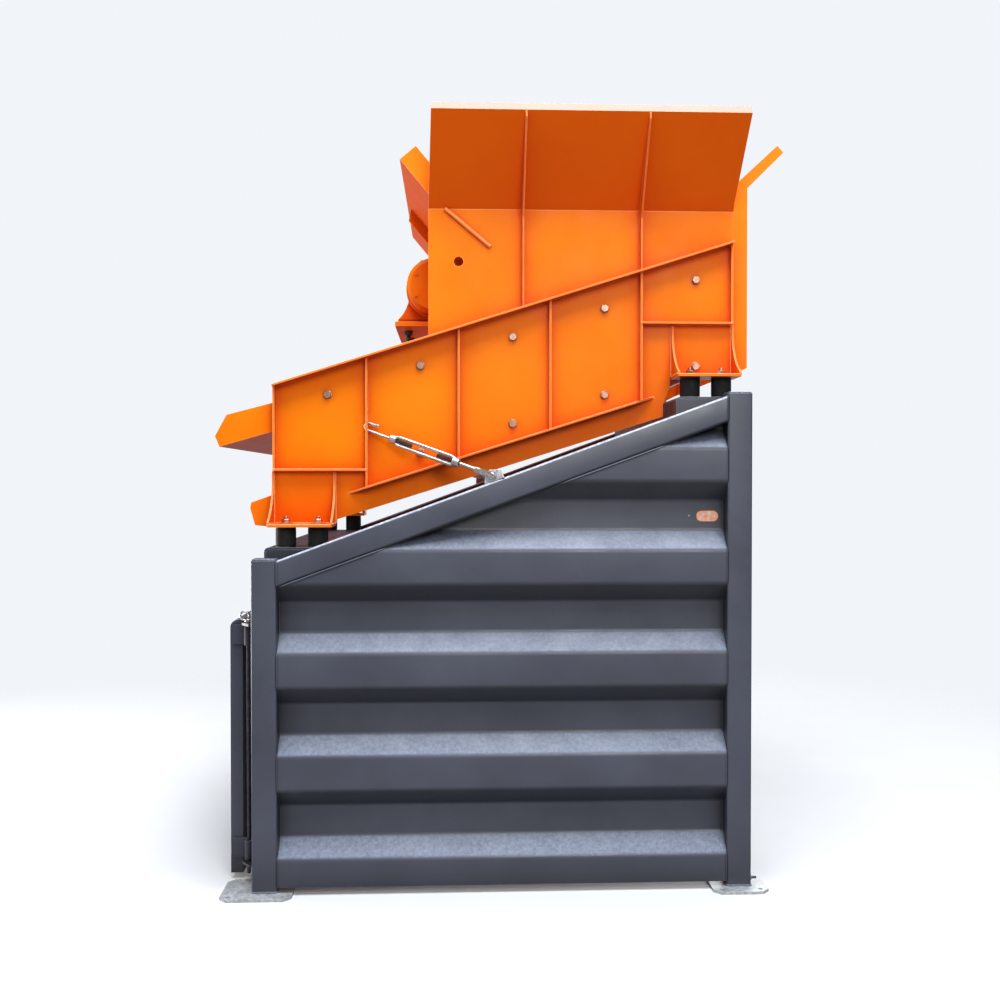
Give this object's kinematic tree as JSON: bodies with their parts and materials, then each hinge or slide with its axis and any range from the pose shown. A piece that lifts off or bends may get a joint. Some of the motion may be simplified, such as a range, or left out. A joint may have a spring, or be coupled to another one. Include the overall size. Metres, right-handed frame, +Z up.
{
  "type": "vibrating screener",
  "caption": "Static loader-fed vibrating screener: a sprung two-deck screen box with a flared hopper on a frame with corrugated side walls.",
  "frame": {"origin": "on the ground under the middle of the machine's box", "axes": "+Z up, +X towards the high feed end, -Y towards the near side"},
  "size_m": [2.38, 2.024, 3.145],
  "materials": {
    "frame_paint": "semi-gloss anthracite blue-grey paint",
    "box_paint": "semi-gloss pure orange paint",
    "galvanised": "galvanised, dull",
    "buffer_rubber": "matt",
    "screen_steel": "worn bare steel",
    "machined_steel": "machined",
    "stator_iron": "varnished windings in iron"
  },
  "bodies": {
    "frame": {"post_low_near": "frame_paint", "post_low_far": "frame_paint", "post_high_near": "frame_paint", "post_high_far": "frame_paint", "base_plate_low_near": "galvanised", "base_plate_low_far": "galvanised", "base_plate_high_near": "galvanised", "base_plate_high_far": "galvanised", "rail_near": "frame_paint", "rail_far": "frame_paint", "wall_near": "frame_paint", "wall_far": "frame_paint", "buffer_beam_low": "frame_paint", "buffer_beam_high": "frame_paint", "gate_hinge_rod": "galvanised", "gate_bracket_low": "galvanised", "gate_bracket_high": "galvanised", "tie_lug_near": "galvanised", "tie_lug_far": "galvanised", "tie_fork_near": "galvanised", "tie_fork_far": "galvanised", "buffer_low_outer_near": "buffer_rubber", "buffer_low_outer_far": "buffer_rubber", "buffer_low_inner_near": "buffer_rubber", "buffer_low_inner_far": "buffer_rubber", "buffer_high_outer_near": "buffer_rubber", "buffer_high_outer_far": "buffer_rubber", "buffer_high_inner_near": "buffer_rubber", "buffer_high_inner_far": "buffer_rubber"},
    "screen_box": {"foot_low_near": "box_paint", "foot_low_far": "box_paint", "foot_high_near": "box_paint", "foot_high_far": "box_paint", "side_plate_near": "box_paint", "side_plate_far": "box_paint", "deck_frame_upper": "box_paint", "screen_upper": "screen_steel", "deck_frame_lower": "box_paint", "screen_lower": "screen_steel", "chute_upper": "box_paint", "chute_lower": "box_paint", "hopper_side_near": "box_paint", "hopper_side_far": "box_paint", "hopper_rear_wall": "box_paint", "hopper_front_wall": "box_paint", "motor_bridge": "box_paint", "motor_housing": "box_paint", "motor_stator": "stator_iron", "motor_bearing_near": "machined_steel", "motor_bearing_far": "machined_steel", "motor_cover_near": "box_paint", "motor_cover_far": "box_paint"},
    "vibrator_rotor": {"motor_rotor": "machined_steel", "eccentric_weight_near": "machined_steel", "eccentric_weight_far": "machined_steel"},
    "gate": {"gate_leaf": "frame_paint"},
    "tie_body_near": {"tie_body_near": "galvanised"},
    "tie_hook_near": {"tie_hook_near": "galvanised"},
    "tie_body_far": {"tie_body_far": "galvanised"},
    "tie_hook_far": {"tie_hook_far": "galvanised"}
  },
  "joints": [
    {"name": "box_bounce", "type": "slide", "parent": "frame", "child": "screen_box", "axis": [0, 0, 1], "range_m": [-0.01, 0.01], "stiffness_N_per_m": 1200000, "springref_m": 0.0086, "deforming": ["buffer_low_outer_near", "buffer_low_outer_far", "buffer_low_inner_near", "buffer_low_inner_far", "buffer_high_outer_near", "buffer_high_outer_far", "buffer_high_inner_near", "buffer_high_inner_far"]},
    {"name": "rotor_spin", "type": "hinge", "parent": "screen_box", "child": "vibrator_rotor", "pos_m": [-0.285, 0, 2.535], "axis": [0, 1, 0], "continuous": true},
    {"name": "gate_swing", "type": "hinge", "parent": "frame", "child": "gate", "pos_m": [-1.04, -0.785, 0.5], "axis": [0, 0, 1], "range_deg": [0, 110]},
    {"name": "tie_turn_near", "type": "hinge", "parent": "frame", "child": "tie_body_near", "pos_m": [-0.042, -0.93, 1.667], "axis": [-0.8848, 0.3337, 0.3252], "range_deg": [0, 721]},
    {"name": "tie_draw_near", "type": "slide", "parent": "frame", "child": "tie_hook_near", "axis": [-0.8848, 0.3337, 0.3252], "range_m": [0, 0.01]},
    {"name": "tie_turn_far", "type": "hinge", "parent": "frame", "child": "tie_body_far", "pos_m": [-0.042, 0.93, 1.667], "axis": [-0.8848, -0.3337, 0.3252], "range_deg": [0, 721]},
    {"name": "tie_draw_far", "type": "slide", "parent": "frame", "child": "tie_hook_far", "axis": [-0.8848, -0.3337, 0.3252], "range_m": [0, 0.01]}
  ],
  "couplings": [
    {"joint": "tie_turn_near", "follows": "tie_draw_near", "rad_per_m": 1256.6},
    {"joint": "tie_turn_far", "follows": "tie_draw_far", "rad_per_m": 1256.6}
  ]
}
